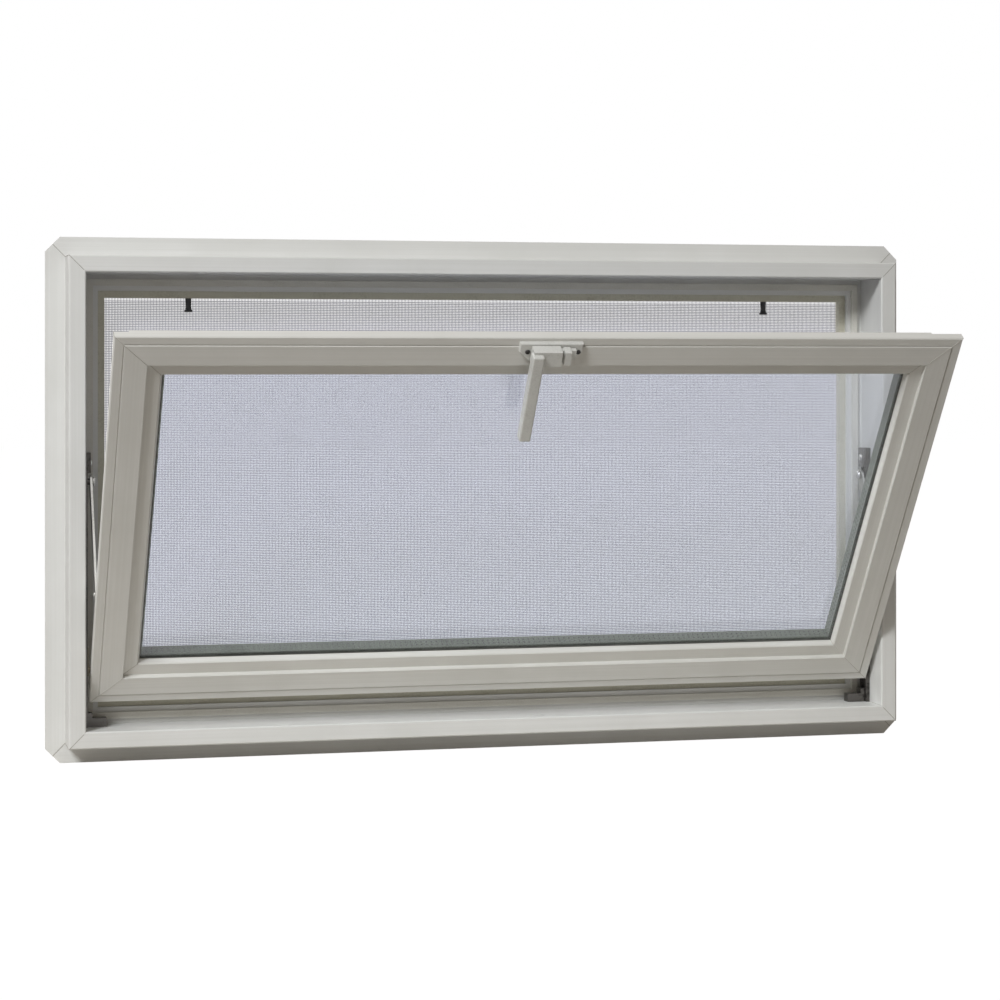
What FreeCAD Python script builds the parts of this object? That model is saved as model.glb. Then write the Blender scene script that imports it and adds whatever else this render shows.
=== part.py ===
import FreeCAD, Part
import math
import os
import Sketcher

# Hopper window, open at its resting pose. Millimetres, X right, Y into the wall, Z up.
# The origin is the middle of the sill flange, on the flange face that lies against the wall.

os.makedirs("parts", exist_ok=True)
doc = FreeCAD.newDocument("hopper_window")
sheet = doc.addObject("Spreadsheet::Sheet", "Sizes")
row_count = 0


class Size:
    """A number together with the sheet expression it comes from."""

    def __init__(self, value, text):
        self.value, self.text = value, text

    def __add__(self, other):
        other = as_size(other)
        return Size(self.value + other.value, f"({self.text} + {other.text})")

    def __sub__(self, other):
        other = as_size(other)
        return Size(self.value - other.value, f"({self.text} - {other.text})")

    def __mul__(self, other):
        other = as_size(other)
        return Size(self.value * other.value, f"({self.text} * {other.text})")

    def __truediv__(self, other):
        other = as_size(other)
        return Size(self.value / other.value, f"({self.text} / {other.text})")

    def __radd__(self, other):
        return as_size(other) + self

    def __rsub__(self, other):
        return as_size(other) - self

    def __rmul__(self, other):
        return as_size(other) * self

    def __neg__(self):
        return as_size(0) - self


def as_size(value):
    return value if isinstance(value, Size) else Size(float(value), f"{float(value):.4f}")


def sine(angle):
    return Size(math.sin(math.radians(angle.value)), f"sin({angle.text} * 1deg)")


def cosine(angle):
    return Size(math.cos(math.radians(angle.value)), f"cos({angle.text} * 1deg)")


def root(size):
    return Size(math.sqrt(size.value), f"sqrt({size.text})")


def size(alias, value):
    """Put one number into the sheet under a name and hand it back as a Size."""
    global row_count
    row_count += 1
    cell = f"B{row_count}"
    sheet.set(f"A{row_count}", alias)
    sheet.set(cell, str(value))
    sheet.setAlias(cell, alias)
    return Size(float(value), f"Sizes.{alias}")


# Frame
unit_width = size("unit_width", 806.45)
unit_height = size("unit_height", 450.85)
frame_depth = size("frame_depth", 70)
band_width = size("band_width", 15.5)
band_bevel_width = size("band_bevel_width", 1.2)
band_bevel_depth = size("band_bevel_depth", 1.0)
flange_width = size("flange_width", 18.4)
flange_front = size("flange_front", 44)
flange_thickness = size("flange_thickness", 3)
flange_corner_cut = size("flange_corner_cut", 13.5)
vinyl_edge = size("vinyl_edge", 1)
stop_front = size("stop_front", 54.5)
stop_thickness = size("stop_thickness", 4)
stop_reach = size("stop_reach", 15.5)
screen_channel_reach = size("screen_channel_reach", 6)
screen_lip_reach = size("screen_lip_reach", 5)
screen_lip_thickness = size("screen_lip_thickness", 2.5)
weep_length = size("weep_length", 14)
weep_width = size("weep_width", 4)
weep_offset = size("weep_offset", 40)
weep_from_front = size("weep_from_front", 9)
weep_depth = size("weep_depth", 5)
seal_width = size("seal_width", 6)
seal_thickness = size("seal_thickness", 3)

# Insect screen
screen_rail_width = size("screen_rail_width", 16)
screen_mesh_thickness = size("screen_mesh_thickness", 0.6)
screen_mesh_from_front = size("screen_mesh_from_front", 6.5)
mesh_columns = size("mesh_columns", 12)
mesh_rows = size("mesh_rows", 6)
mesh_bar_width = size("mesh_bar_width", 4)
plunger_from_end = size("plunger_from_end", 79)
plunger_stem_radius = size("plunger_stem_radius", 2)
plunger_knob_radius = size("plunger_knob_radius", 3.4)
plunger_clearance = size("plunger_clearance", 0.4)
plunger_stem_length = size("plunger_stem_length", 6)
plunger_knob_length = size("plunger_knob_length", 7)

# Sash
sash_gap = size("sash_gap", 5)
sash_setback = size("sash_setback", 13.5)
sash_depth = size("sash_depth", 33)
sash_lip_depth = size("sash_lip_depth", 7.5)
sash_side_rebate = size("sash_side_rebate", 16)
sash_face_width = size("sash_face_width", 29.5)
sash_back_leg_width = size("sash_back_leg_width", 39)
sash_line_inset = size("sash_line_inset", 8.7)
sash_line_width = size("sash_line_width", 1.2)
sash_line_depth = size("sash_line_depth", 0.9)
bead_width = size("bead_width", 13)
bead_slope = size("bead_slope", 2)
bead_setback = size("bead_setback", 4)
glass_setback = size("glass_setback", 10)
pane_thickness = size("pane_thickness", 3)
glass_gap = size("glass_gap", 12)
glass_edge_inset = size("glass_edge_inset", 33)
spacer_inset = size("spacer_inset", 34.5)
spacer_width = size("spacer_width", 12)

# Stay hardware
sash_open_angle = size("sash_open_angle", 35)
pivot_behind_face = size("pivot_behind_face", 25)
pivot_above_edge = size("pivot_above_edge", 18)
pivot_to_rivet = size("pivot_to_rivet", 91)
arm_reach = size("arm_reach", 113)
pin_radius = size("pin_radius", 3)
pin_clearance = size("pin_clearance", 0.05)
track_width = size("track_width", 16)
track_wall = size("track_wall", 1.2)
track_rise = size("track_rise", 4)
track_above_pivot = size("track_above_pivot", 27)
track_block_height = size("track_block_height", 19)
track_block_width = size("track_block_width", 14)
track_block_rise = size("track_block_rise", 7)
track_foot_length = size("track_foot_length", 22)
track_foot_height = size("track_foot_height", 8)
track_foot_width = size("track_foot_width", 11)
track_foot_leg_rise = size("track_foot_leg_rise", 8.5)
track_foot_leg_height = size("track_foot_leg_height", 13)
shoe_height = size("shoe_height", 26)
shoe_below_pin = size("shoe_below_pin", 5)
shoe_clearance = size("shoe_clearance", 0.6)
shoe_rise = size("shoe_rise", 1)
arm_width = size("arm_width", 12)
arm_thickness = size("arm_thickness", 2)
arm_offset = size("arm_offset", 6.5)
pin_end_offset = size("pin_end_offset", 9.3)
bar_width = size("bar_width", 16)
bar_thickness = size("bar_thickness", 2.5)
bar_below_pivot = size("bar_below_pivot", 9)
bar_above_rivet = size("bar_above_rivet", 12)
bar_slot_width = size("bar_slot_width", 11)
bar_slot_travel = size("bar_slot_travel", 8)
pin_stop_short = size("pin_stop_short", 0.5)

# Lock handle
lock_offset = size("lock_offset", -4)
lock_below_edge = size("lock_below_edge", 13)
lock_base_shift = size("lock_base_shift", 0.5)
lock_base_length = size("lock_base_length", 57)
lock_base_height = size("lock_base_height", 18)
lock_base_thickness = size("lock_base_thickness", 4)
lock_base_end_cut = size("lock_base_end_cut", 9)
lock_base_edge = size("lock_base_edge", 1.2)
lock_spindle_radius = size("lock_spindle_radius", 4.5)
lock_spindle_clearance = size("lock_spindle_clearance", 0.05)
lock_hub_gap = size("lock_hub_gap", 0.6)
lock_hub_width = size("lock_hub_width", 15.5)
lock_hub_height = size("lock_hub_height", 15)
lock_hub_thickness = size("lock_hub_thickness", 11)
lock_arm_offset = size("lock_arm_offset", 14)
lock_arm_width = size("lock_arm_width", 10.5)
lock_arm_above = size("lock_arm_above", 5)
lock_arm_length = size("lock_arm_length", 90.5)
lock_arm_thickness = size("lock_arm_thickness", 10)
lock_arm_lift = size("lock_arm_lift", 5.5)
lock_arm_edge = size("lock_arm_edge", 1.5)
lock_nose_reach = size("lock_nose_reach", 22)
lock_nose_width = size("lock_nose_width", 10)
lock_nose_thickness = size("lock_nose_thickness", 4)
lock_shoulder_start = size("lock_shoulder_start", 10.5)
lock_shoulder_width = size("lock_shoulder_width", 6)
lock_shoulder_height = size("lock_shoulder_height", 13)
lock_shoulder_thickness = size("lock_shoulder_thickness", 10)
lock_pocket_width = size("lock_pocket_width", 44)
lock_pocket_depth = size("lock_pocket_depth", 10)
lock_pocket_front = size("lock_pocket_front", 4)
lock_pocket_back = size("lock_pocket_back", 13)
mitre_margin = size("mitre_margin", 2)
doc.recompute()

# Derived positions
flange_back = flange_front + flange_thickness
frame_middle = flange_width / 2 + unit_height / 2
band_bottom = flange_width / 2
pivot_depth = sash_setback + pivot_behind_face
jamb_inner = unit_width / 2 - band_width
sash_width = unit_width - 2 * band_width - 2 * sash_gap
sash_height = unit_height - 2 * band_width - 2 * sash_gap
sash_middle = sash_height / 2 - pivot_above_edge
screen_front = stop_front + stop_thickness
screen_back = frame_depth - screen_lip_thickness
screen_outer = band_width + screen_channel_reach
pivot_closed = band_bottom + band_width + sash_gap + pivot_above_edge
arm_pivot_height = pivot_closed + pivot_to_rivet + arm_reach
swing = pivot_to_rivet * sine(sash_open_angle)
pivot_rise = arm_reach - root(arm_reach * arm_reach - swing * swing) \
    + pivot_to_rivet * (1 - cosine(sash_open_angle))
arm_angle_text = f"asin({swing.text} / {arm_reach.text})"
pivot_y = pivot_depth - flange_back
pivot_open = pivot_closed + pivot_rise
bar_outer = jamb_inner - sash_gap - sash_side_rebate + bar_thickness
pin_end = jamb_inner - sash_gap - sash_side_rebate + pin_stop_short


def new_body(label):
    body = doc.addObject("PartDesign::Body", label)
    body.Label = label
    return body


def add_sketch(body, plane_role, loops, offset=None):
    """Draw closed loops on an origin plane; a loop is corner points or ("circle", x, y, radius)."""
    sketch = body.newObject("Sketcher::SketchObject", "Sketch")
    plane = [item for item in body.Origin.OriginFeatures if item.Role == plane_role][0]
    sketch.AttachmentSupport = (plane, [""])
    sketch.MapMode = "FlatFace"
    if offset is not None:
        sketch.setExpression("AttachmentOffset.Base.z", as_size(offset).text)
    bound = []

    def fix(axis, item, point, value):
        value = as_size(value)
        index = sketch.addConstraint(Sketcher.Constraint(axis, -1, 1, item, point, value.value))
        bound.append((index, value.text))

    for loop in loops:
        if loop[0] == "circle":
            _, x, y, radius = loop
            centre = FreeCAD.Vector(as_size(x).value, as_size(y).value, 0)
            item = sketch.addGeometry(Part.Circle(centre, FreeCAD.Vector(0, 0, 1), as_size(radius).value))
            fix("DistanceX", item, 3, x)
            fix("DistanceY", item, 3, y)
            index = sketch.addConstraint(Sketcher.Constraint("Radius", item, as_size(radius).value))
            bound.append((index, as_size(radius).text))
            continue
        corners = [FreeCAD.Vector(as_size(x).value, as_size(y).value, 0) for x, y in loop]
        items = [sketch.addGeometry(Part.LineSegment(corners[i], corners[(i + 1) % len(corners)]))
                 for i in range(len(corners))]
        for i, item in enumerate(items):
            sketch.addConstraint(Sketcher.Constraint("Coincident", items[i - 1], 2, item, 1))
            fix("DistanceX", item, 1, loop[i][0])
            fix("DistanceY", item, 1, loop[i][1])
    for index, text in bound:
        sketch.setExpression(f"Constraints[{index}]", text)
    return sketch


def add_pad(body, sketch, length, symmetric=True, reverse=False):
    pad = body.newObject("PartDesign::Pad", "Pad")
    pad.Profile = sketch
    pad.SideType = "Symmetric" if symmetric else "One side"
    pad.Reversed = reverse
    pad.setExpression("Length", as_size(length).text)
    sketch.Visibility = False
    return pad


def add_cut(body, sketch, length=None, reverse=False):
    """Pocket right through both ways, or to a length from the sketch plane."""
    pocket = body.newObject("PartDesign::Pocket", "Pocket")
    pocket.Profile = sketch
    if length is None:
        pocket.SideType = "Symmetric"
        pocket.Type = "ThroughAll"
    else:
        pocket.Reversed = reverse
        pocket.setExpression("Length", as_size(length).text)
    sketch.Visibility = False
    return pocket


def repeat_cut(body, cut, sketch, across, up):
    """Repeat a cut along both axes of its sketch; across and up are (count, step)."""
    grid = body.newObject("PartDesign::MultiTransform", "Grid")
    grid.Originals = [cut]
    rows = []
    for axis, (count, step) in (("H_Axis", across), ("V_Axis", up)):
        row = body.newObject("PartDesign::LinearPattern", "Row")
        row.Direction = (sketch, [axis])
        row.setExpression("Occurrences", count.text)
        row.setExpression("Length", ((count - 1) * step).text)
        rows.append(row)
    grid.Transformations = rows
    body.Tip = grid


def place(body, x=0, y=0, z=0, angle_text=None):
    """Move a body, and turn it about the X axis."""
    body.Placement = FreeCAD.Placement(FreeCAD.Vector(), FreeCAD.Rotation(FreeCAD.Vector(1, 0, 0), 30))
    for axis, value in (("x", x), ("y", y), ("z", z)):
        body.setExpression(f"Placement.Base.{axis}", as_size(value).text)
    body.setExpression("Placement.Rotation.Angle", angle_text or "0 deg")


def place_on_sash(body):
    place(body, 0, pivot_y, pivot_open, f"{sash_open_angle.text} * 1deg")


def mitred_side(label, side, ring, profile, front, reach, overhang=None, corner_cut=None):
    """One side of a mitred ring. The profile lists (inset, depth) pairs from the outer front edge."""
    width, height, middle = ring
    body = new_body(label)
    upright = side in ("left", "right")
    sign = 1 if side in ("top", "right") else -1
    half_across = (width if upright else height) / 2
    half_along = (height if upright else width) / 2
    across_middle = as_size(0) if upright else middle
    along_middle = middle if upright else as_size(0)
    out = as_size(0) if overhang is None else overhang

    def across(inset):
        return across_middle + sign * (half_across - inset)

    if upright:
        points = [(across(inset), front + depth) for inset, depth in profile]
        outline = add_sketch(body, "XY_Plane", [points], middle)
    else:
        points = [(front + depth, across(inset)) for inset, depth in profile]
        outline = add_sketch(body, "YZ_Plane", [points])
    add_pad(body, outline, 2 * half_along + 2 * out)
    loops = []
    for end in (1, -1):
        far = out + mitre_margin
        if corner_cut is None:
            marks = [(-reach, -reach), (far, far), (far, -reach)]
        else:
            tip = out - corner_cut / 2
            marks = [(-reach, -reach), (tip, tip), (out - corner_cut - mitre_margin, far),
                     (far, far), (far, -reach)]
        corners = [(along_middle + end * (half_along + along), across_middle + sign * (half_across + rise))
                   for along, rise in marks]
        loops.append([(b, a) if upright else (a, b) for a, b in corners])
    add_cut(body, add_sketch(body, "XZ_Plane", loops))
    return body


SIDES = ("top", "bottom", "left", "right")
frame_ring = (unit_width, unit_height, frame_middle)
frame_profile = [
    (0, vinyl_edge), (vinyl_edge, 0), (band_width - band_bevel_width, 0), (band_width, band_bevel_depth),
    (band_width, stop_front), (band_width + stop_reach, stop_front),
    (band_width + stop_reach, screen_front), (screen_outer, screen_front),
    (screen_outer, screen_back), (screen_outer + screen_lip_reach, screen_back),
    (screen_outer + screen_lip_reach, frame_depth), (0, frame_depth),
    (0, flange_back), (-flange_width, flange_back), (-flange_width, flange_front), (0, flange_front),
]
frame_names = dict(top="frame_head", bottom="frame_sill", left="frame_left_jamb", right="frame_right_jamb")
frame_reach = band_width + stop_reach + mitre_margin
frame = {}
for side in SIDES:
    frame[side] = mitred_side(frame_names[side], side, frame_ring, frame_profile, -flange_back,
                              frame_reach, flange_width, flange_corner_cut)

# Drain slot in the sill and the slot in the head that takes the nose of the lock
weep_front = weep_from_front - flange_back
weep_loop = [(weep_offset - weep_length / 2, weep_front), (weep_offset + weep_length / 2, weep_front),
             (weep_offset + weep_length / 2, weep_front + weep_width),
             (weep_offset - weep_length / 2, weep_front + weep_width)]
add_cut(frame["bottom"], add_sketch(frame["bottom"], "XY_Plane", [weep_loop], band_bottom + band_width),
        weep_depth)
pocket_front = lock_pocket_front - flange_back
pocket_back = lock_pocket_back - flange_back
pocket_loop = [(lock_offset - lock_pocket_width / 2, pocket_front),
               (lock_offset + lock_pocket_width / 2, pocket_front),
               (lock_offset + lock_pocket_width / 2, pocket_back),
               (lock_offset - lock_pocket_width / 2, pocket_back)]
head_inner = frame_middle + unit_height / 2 - band_width
add_cut(frame["top"], add_sketch(frame["top"], "XY_Plane", [pocket_loop], head_inner),
        lock_pocket_depth, reverse=True)


def rectangle(width, height, middle, inset):
    half_w, half_h = width / 2 - inset, height / 2 - inset
    return [(-half_w, middle - half_h), (half_w, middle - half_h),
            (half_w, middle + half_h), (-half_w, middle + half_h)]


def flat_panel(label, ring, inset, front, thickness, opening_inset=None):
    """A flat sheet, or a flat ring when an opening is given, parallel to the window face."""
    body = new_body(label)
    loops = [rectangle(*ring, inset)]
    if opening_inset is not None:
        loops.append(rectangle(*ring, opening_inset))
    add_pad(body, add_sketch(body, "XZ_Plane", loops, -(front + thickness)), thickness, symmetric=False)
    return body


# Seal on the stop
seal_inset = band_width + (stop_reach - seal_width) / 2
flat_panel("frame_seal", frame_ring, seal_inset, stop_front - seal_thickness - flange_back,
           seal_thickness, seal_inset + seal_width)

# Insect screen
screen_ring = (unit_width - 2 * screen_outer, unit_height - 2 * screen_outer, frame_middle)
screen_depth = screen_back - screen_front
screen_profile = [(0, 0), (screen_rail_width, 0), (screen_rail_width, screen_depth), (0, screen_depth)]
for side in SIDES:
    mitred_side(f"screen_{side}_rail", side, screen_ring, screen_profile, screen_front - flange_back,
                screen_rail_width + mitre_margin)
mesh = flat_panel("screen_mesh", screen_ring, screen_rail_width,
                  screen_front + screen_mesh_from_front - flange_back, screen_mesh_thickness)

# Coarse openings stand for the weave of the mesh
mesh_left = -(unit_width / 2 - screen_outer - screen_rail_width)
mesh_low = frame_middle - unit_height / 2 + screen_outer + screen_rail_width
column_step = (-2 * mesh_left - mesh_bar_width) / mesh_columns
row_step = (2 * (frame_middle - mesh_low) - mesh_bar_width) / mesh_rows
first_opening = add_sketch(mesh, "XZ_Plane", [[
    (mesh_left + mesh_bar_width, mesh_low + mesh_bar_width),
    (mesh_left + column_step, mesh_low + mesh_bar_width),
    (mesh_left + column_step, mesh_low + row_step),
    (mesh_left + mesh_bar_width, mesh_low + row_step)]])
repeat_cut(mesh, add_cut(mesh, first_opening), first_opening,
           (mesh_columns, column_step), (mesh_rows, row_step))
for name, sign in (("left", -1), ("right", 1)):
    body = new_body(f"{name}_screen_plunger")
    top = as_size(0)
    knob = -plunger_stem_length
    end = knob - plunger_knob_length
    half_profile = [(0, top), (plunger_stem_radius, top), (plunger_stem_radius, knob),
                    (plunger_knob_radius, end), (0, end)]
    turned = body.newObject("PartDesign::Revolution", "Revolution")
    turned.Profile = add_sketch(body, "XZ_Plane", [half_profile])
    turned.ReferenceAxis = (turned.Profile[0], ["V_Axis"])
    turned.Angle = 360
    place(body, sign * (unit_width / 2 - screen_outer - screen_rail_width - plunger_from_end),
          screen_front + screen_mesh_from_front - plunger_clearance - plunger_knob_radius - flange_back,
          frame_middle + unit_height / 2 - screen_outer - screen_rail_width)

# Sash, drawn closed about its pivot and then set open
sash_ring = (sash_width, sash_height, sash_middle)
face = -pivot_behind_face
sash_profile = [
    (0, vinyl_edge), (vinyl_edge, 0),
    (sash_line_inset - sash_line_width / 2, 0), (sash_line_inset, sash_line_depth),
    (sash_line_inset + sash_line_width / 2, 0),
    (sash_face_width - vinyl_edge, 0), (sash_face_width, vinyl_edge),
    (sash_face_width, glass_setback + 2 * pane_thickness + glass_gap),
    (sash_back_leg_width, glass_setback + 2 * pane_thickness + glass_gap),
    (sash_back_leg_width, sash_depth), (sash_side_rebate, sash_depth),
    (sash_side_rebate, sash_lip_depth), (0, sash_lip_depth),
]
bead_profile = [
    (sash_face_width, bead_setback), (sash_face_width + bead_width - vinyl_edge, bead_setback),
    (sash_face_width + bead_width, bead_setback + vinyl_edge),
    (sash_face_width + bead_width + bead_slope, glass_setback), (sash_face_width, glass_setback),
]
sash_names = dict(top="sash_top_rail", bottom="sash_bottom_rail",
                  left="sash_left_stile", right="sash_right_stile")
for side in SIDES:
    place_on_sash(mitred_side(sash_names[side], side, sash_ring, sash_profile, face,
                              sash_back_leg_width + mitre_margin))
    place_on_sash(mitred_side(f"glazing_bead_{side}", side, sash_ring, bead_profile, face,
                              sash_face_width + bead_width + bead_slope + mitre_margin))
inner_pane = face + glass_setback
place_on_sash(flat_panel("inner_glass_pane", sash_ring, glass_edge_inset, inner_pane, pane_thickness))
place_on_sash(flat_panel("outer_glass_pane", sash_ring, glass_edge_inset,
                         inner_pane + pane_thickness + glass_gap, pane_thickness))
place_on_sash(flat_panel("glass_spacer", sash_ring, spacer_inset, inner_pane + pane_thickness, glass_gap,
                         spacer_inset + spacer_width))


def capsule(y, low, high, half_width, count=10):
    """Corner points of an upright bar with rounded ends, in the YZ plane."""
    points = []
    for middle, start in ((high, 0), (low, 180)):
        for step in range(count + 1):
            turn = math.radians(start + 180 * step / count)
            points.append((y + half_width * math.cos(turn), middle + half_width * math.sin(turn)))
    return points


def plate(body, loops, outer_face, thickness, sign):
    """Pad loops from an upright plane toward the middle of the window."""
    add_pad(body, add_sketch(body, "YZ_Plane", loops, sign * outer_face), thickness, symmetric=False,
            reverse=sign > 0)


# Stay on each side: track, shoe, support arm and the bar on the sash
for name, sign in (("left", -1), ("right", 1)):
    track = new_body(f"{name}_stay_track")
    track_low = band_bottom + band_width
    track_high = arm_pivot_height + track_above_pivot
    lips = jamb_inner - track_rise
    near, far = pivot_y - track_width / 2, pivot_y + track_width / 2
    channel = [(sign * jamb_inner, near), (sign * lips, near), (sign * lips, near + track_wall),
               (sign * (jamb_inner - track_wall), near + track_wall),
               (sign * (jamb_inner - track_wall), far - track_wall), (sign * lips, far - track_wall),
               (sign * lips, far), (sign * jamb_inner, far)]
    add_pad(track, add_sketch(track, "XY_Plane", [channel], track_low), track_high - track_low,
            symmetric=False)

    def track_block(width, low, height, rise):
        half = width / 2
        loop = [(pivot_y - half, low), (pivot_y + half, low), (pivot_y + half, low + height),
                (pivot_y - half, low + height)]
        plate(track, [loop], jamb_inner, rise, sign)

    track_block(track_block_width, track_high - track_block_height, track_block_height, track_block_rise)
    track_block(track_foot_width, track_low, track_foot_height, track_foot_length)
    track_block(track_foot_width, track_low, track_foot_leg_height, track_foot_leg_rise)
    plate(track, [("circle", pivot_y, arm_pivot_height, pin_radius)], jamb_inner, pin_end_offset, sign)

    shoe = new_body(f"{name}_stay_shoe")
    half = track_width / 2 - track_wall - shoe_clearance
    shoe_back = jamb_inner - track_wall - shoe_clearance
    shoe_top = shoe_height - shoe_below_pin
    slab = [(-half, -shoe_below_pin), (half, -shoe_below_pin), (half, shoe_top), (-half, shoe_top)]
    plate(shoe, [slab], shoe_back, shoe_back - jamb_inner + track_rise + shoe_rise, sign)
    plate(shoe, [("circle", 0, 0, pin_radius)], shoe_back, shoe_back - pin_end, sign)
    place(shoe, 0, pivot_y, pivot_open)

    arm = new_body(f"{name}_stay_arm")
    plate(arm, [capsule(0, -arm_reach, as_size(0), arm_width / 2),
                ("circle", 0, 0, pin_radius + pin_clearance)], jamb_inner - arm_offset, arm_thickness, sign)
    plate(arm, [("circle", 0, -arm_reach, pin_radius)], jamb_inner - arm_offset,
          jamb_inner - arm_offset - pin_end, sign)
    place(arm, 0, pivot_y, arm_pivot_height, f"-{arm_angle_text}")

    bar = new_body(f"{name}_sash_bar")
    bar_loop = [(-bar_width / 2, -bar_below_pivot), (bar_width / 2, -bar_below_pivot),
                (bar_width / 2, pivot_to_rivet + bar_above_rivet),
                (-bar_width / 2, pivot_to_rivet + bar_above_rivet)]
    slot = capsule(0, pivot_to_rivet - bar_slot_travel, pivot_to_rivet, bar_slot_width / 2)
    plate(bar, [bar_loop, ("circle", 0, 0, pin_radius + pin_clearance), slot], bar_outer, bar_thickness, sign)
    place_on_sash(bar)

# Lock handle on the top rail of the sash
lock_height = sash_height - pivot_above_edge - lock_below_edge


def round_edges(body, radius, wanted):
    """Fillet the edges of a body's present shape that pass the test."""
    doc.recompute()
    base = body.Tip
    names = [f"Edge{i + 1}" for i, edge in enumerate(base.Shape.Edges) if wanted(edge)]
    fillet = body.newObject("PartDesign::Fillet", "Fillet")
    fillet.Base = (base, names)
    fillet.setExpression("Radius", radius.text)


def block(middle, low, high, half_width):
    return [(middle - half_width, low), (middle + half_width, low),
            (middle + half_width, high), (middle - half_width, high)]


base = new_body("lock_base")
low, high = lock_height - lock_base_height / 2, lock_height + lock_base_height / 2
base_middle = lock_offset + lock_base_shift
left_end, right_end = base_middle - lock_base_length / 2, base_middle + lock_base_length / 2
base_loop = [(left_end + lock_base_end_cut, low), (right_end - lock_base_end_cut, low),
             (right_end, low + lock_base_end_cut), (right_end, high), (left_end, high),
             (left_end, low + lock_base_end_cut)]
spindle_hole = ("circle", lock_offset, lock_height, lock_spindle_radius + lock_spindle_clearance)
add_pad(base, add_sketch(base, "XZ_Plane", [base_loop], -face), lock_base_thickness, symmetric=False)
base_front = face.value - lock_base_thickness.value
round_edges(base, lock_base_edge, lambda edge: abs(edge.BoundBox.YMax - base_front) < 0.01)
add_cut(base, add_sketch(base, "XZ_Plane", [spindle_hole]))
place_on_sash(base)

lever = new_body("lock_lever")
hub_back = -face + lock_base_thickness + lock_hub_gap


def lever_pad(loop, back, thickness):
    add_pad(lever, add_sketch(lever, "XZ_Plane", [loop], back), thickness, symmetric=False)


arm_middle = lock_offset - lock_arm_offset
arm_top = lock_height + lock_arm_above
lever_pad(block(arm_middle, arm_top - lock_arm_length, arm_top, lock_arm_width / 2),
          hub_back + lock_arm_lift, lock_arm_thickness)
round_edges(lever, lock_arm_edge, lambda edge: True)
lever_pad(block(lock_offset, lock_height - lock_hub_height / 2, lock_height + lock_hub_height / 2,
                lock_hub_width / 2), hub_back, lock_hub_thickness)
bridge_end = arm_middle - lock_arm_width / 2 + lock_arm_edge
lever_pad([(bridge_end, lock_height - lock_hub_height / 2), (lock_offset, lock_height - lock_hub_height / 2),
           (lock_offset, lock_height + lock_hub_height / 2), (bridge_end, lock_height + lock_hub_height / 2)],
          hub_back, lock_hub_thickness)
lever_pad([(lock_offset, lock_height - lock_nose_width / 2),
           (lock_offset + lock_nose_reach, lock_height - lock_nose_width / 2),
           (lock_offset + lock_nose_reach, lock_height + lock_nose_width / 2),
           (lock_offset, lock_height + lock_nose_width / 2)], hub_back, lock_nose_thickness)
lever_pad(block(lock_offset + lock_shoulder_start + lock_shoulder_width / 2,
                lock_height - lock_shoulder_height / 2, lock_height + lock_shoulder_height / 2,
                lock_shoulder_width / 2), hub_back, lock_shoulder_thickness)
lever_pad(("circle", lock_offset, lock_height, lock_spindle_radius), -face + lock_hub_gap,
          lock_base_thickness + lock_hub_gap)
place_on_sash(lever)

doc.recompute()
for body in doc.findObjects("PartDesign::Body"):
    for item in [body] + list(body.Group):
        bad = [word for word in item.State if word in ("Invalid", "Error")]
        if bad:
            raise RuntimeError(f"{body.Label}: {item.Name} is {bad}")
    if body.Shape.isNull() or not body.Shape.isValid():
        raise RuntimeError(f"{body.Label}: the shape is not valid")
for body in doc.findObjects("PartDesign::Body"):
    body.Shape.exportStep(f"parts/{body.Label}.step")
    box = body.Shape.BoundBox
    print(f"{body.Label:24s} solids {len(body.Shape.Solids)} volume {body.Shape.Volume / 1000:9.2f} cm3 "
          f"x {box.XMin:.1f} {box.XMax:.1f} y {box.YMin:.1f} {box.YMax:.1f} z {box.ZMin:.1f} {box.ZMax:.1f}")
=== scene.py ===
# %% [markdown]
# # A hopper window, dressed for the camera
# A hopper window is a small basement window: a white vinyl frame with a nailing flange, an insect screen
# behind, and a sash that tilts into the room on two stays. The solids come from the CAD model, so this
# lesson never moves them. It gives each one a finish and adds what is too fine for CAD: woven threads,
# welds, screws and perforations.

# %% Load the CAD frame
import math

import bmesh
import bpy
from mathutils import Matrix, Vector


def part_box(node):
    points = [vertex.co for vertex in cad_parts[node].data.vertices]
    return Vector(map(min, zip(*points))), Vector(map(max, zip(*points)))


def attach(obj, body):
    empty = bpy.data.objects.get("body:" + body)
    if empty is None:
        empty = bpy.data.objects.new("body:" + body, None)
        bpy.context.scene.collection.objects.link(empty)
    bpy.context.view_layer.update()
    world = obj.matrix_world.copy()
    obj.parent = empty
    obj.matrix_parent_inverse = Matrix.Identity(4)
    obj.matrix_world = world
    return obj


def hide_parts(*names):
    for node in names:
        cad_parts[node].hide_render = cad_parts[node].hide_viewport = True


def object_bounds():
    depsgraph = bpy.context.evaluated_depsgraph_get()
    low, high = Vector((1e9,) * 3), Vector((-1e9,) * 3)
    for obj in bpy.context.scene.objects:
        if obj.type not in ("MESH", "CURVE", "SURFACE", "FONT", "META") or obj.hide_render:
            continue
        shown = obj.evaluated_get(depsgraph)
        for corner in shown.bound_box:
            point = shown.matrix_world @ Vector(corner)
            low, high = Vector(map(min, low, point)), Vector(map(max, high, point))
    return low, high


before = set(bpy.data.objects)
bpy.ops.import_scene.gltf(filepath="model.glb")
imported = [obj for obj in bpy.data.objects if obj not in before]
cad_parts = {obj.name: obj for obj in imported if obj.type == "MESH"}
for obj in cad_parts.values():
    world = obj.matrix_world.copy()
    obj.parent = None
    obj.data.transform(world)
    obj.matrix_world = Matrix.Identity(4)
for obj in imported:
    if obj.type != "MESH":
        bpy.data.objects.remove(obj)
cad_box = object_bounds()
scene = bpy.context.scene
scene.view_settings.view_transform = "Standard"
MM = 0.001


def in_mm(place):
    return [round(v / MM, 1) for v in place]


print("nodes", len(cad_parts), "box mm", [in_mm(corner) for corner in cad_box])

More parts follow.
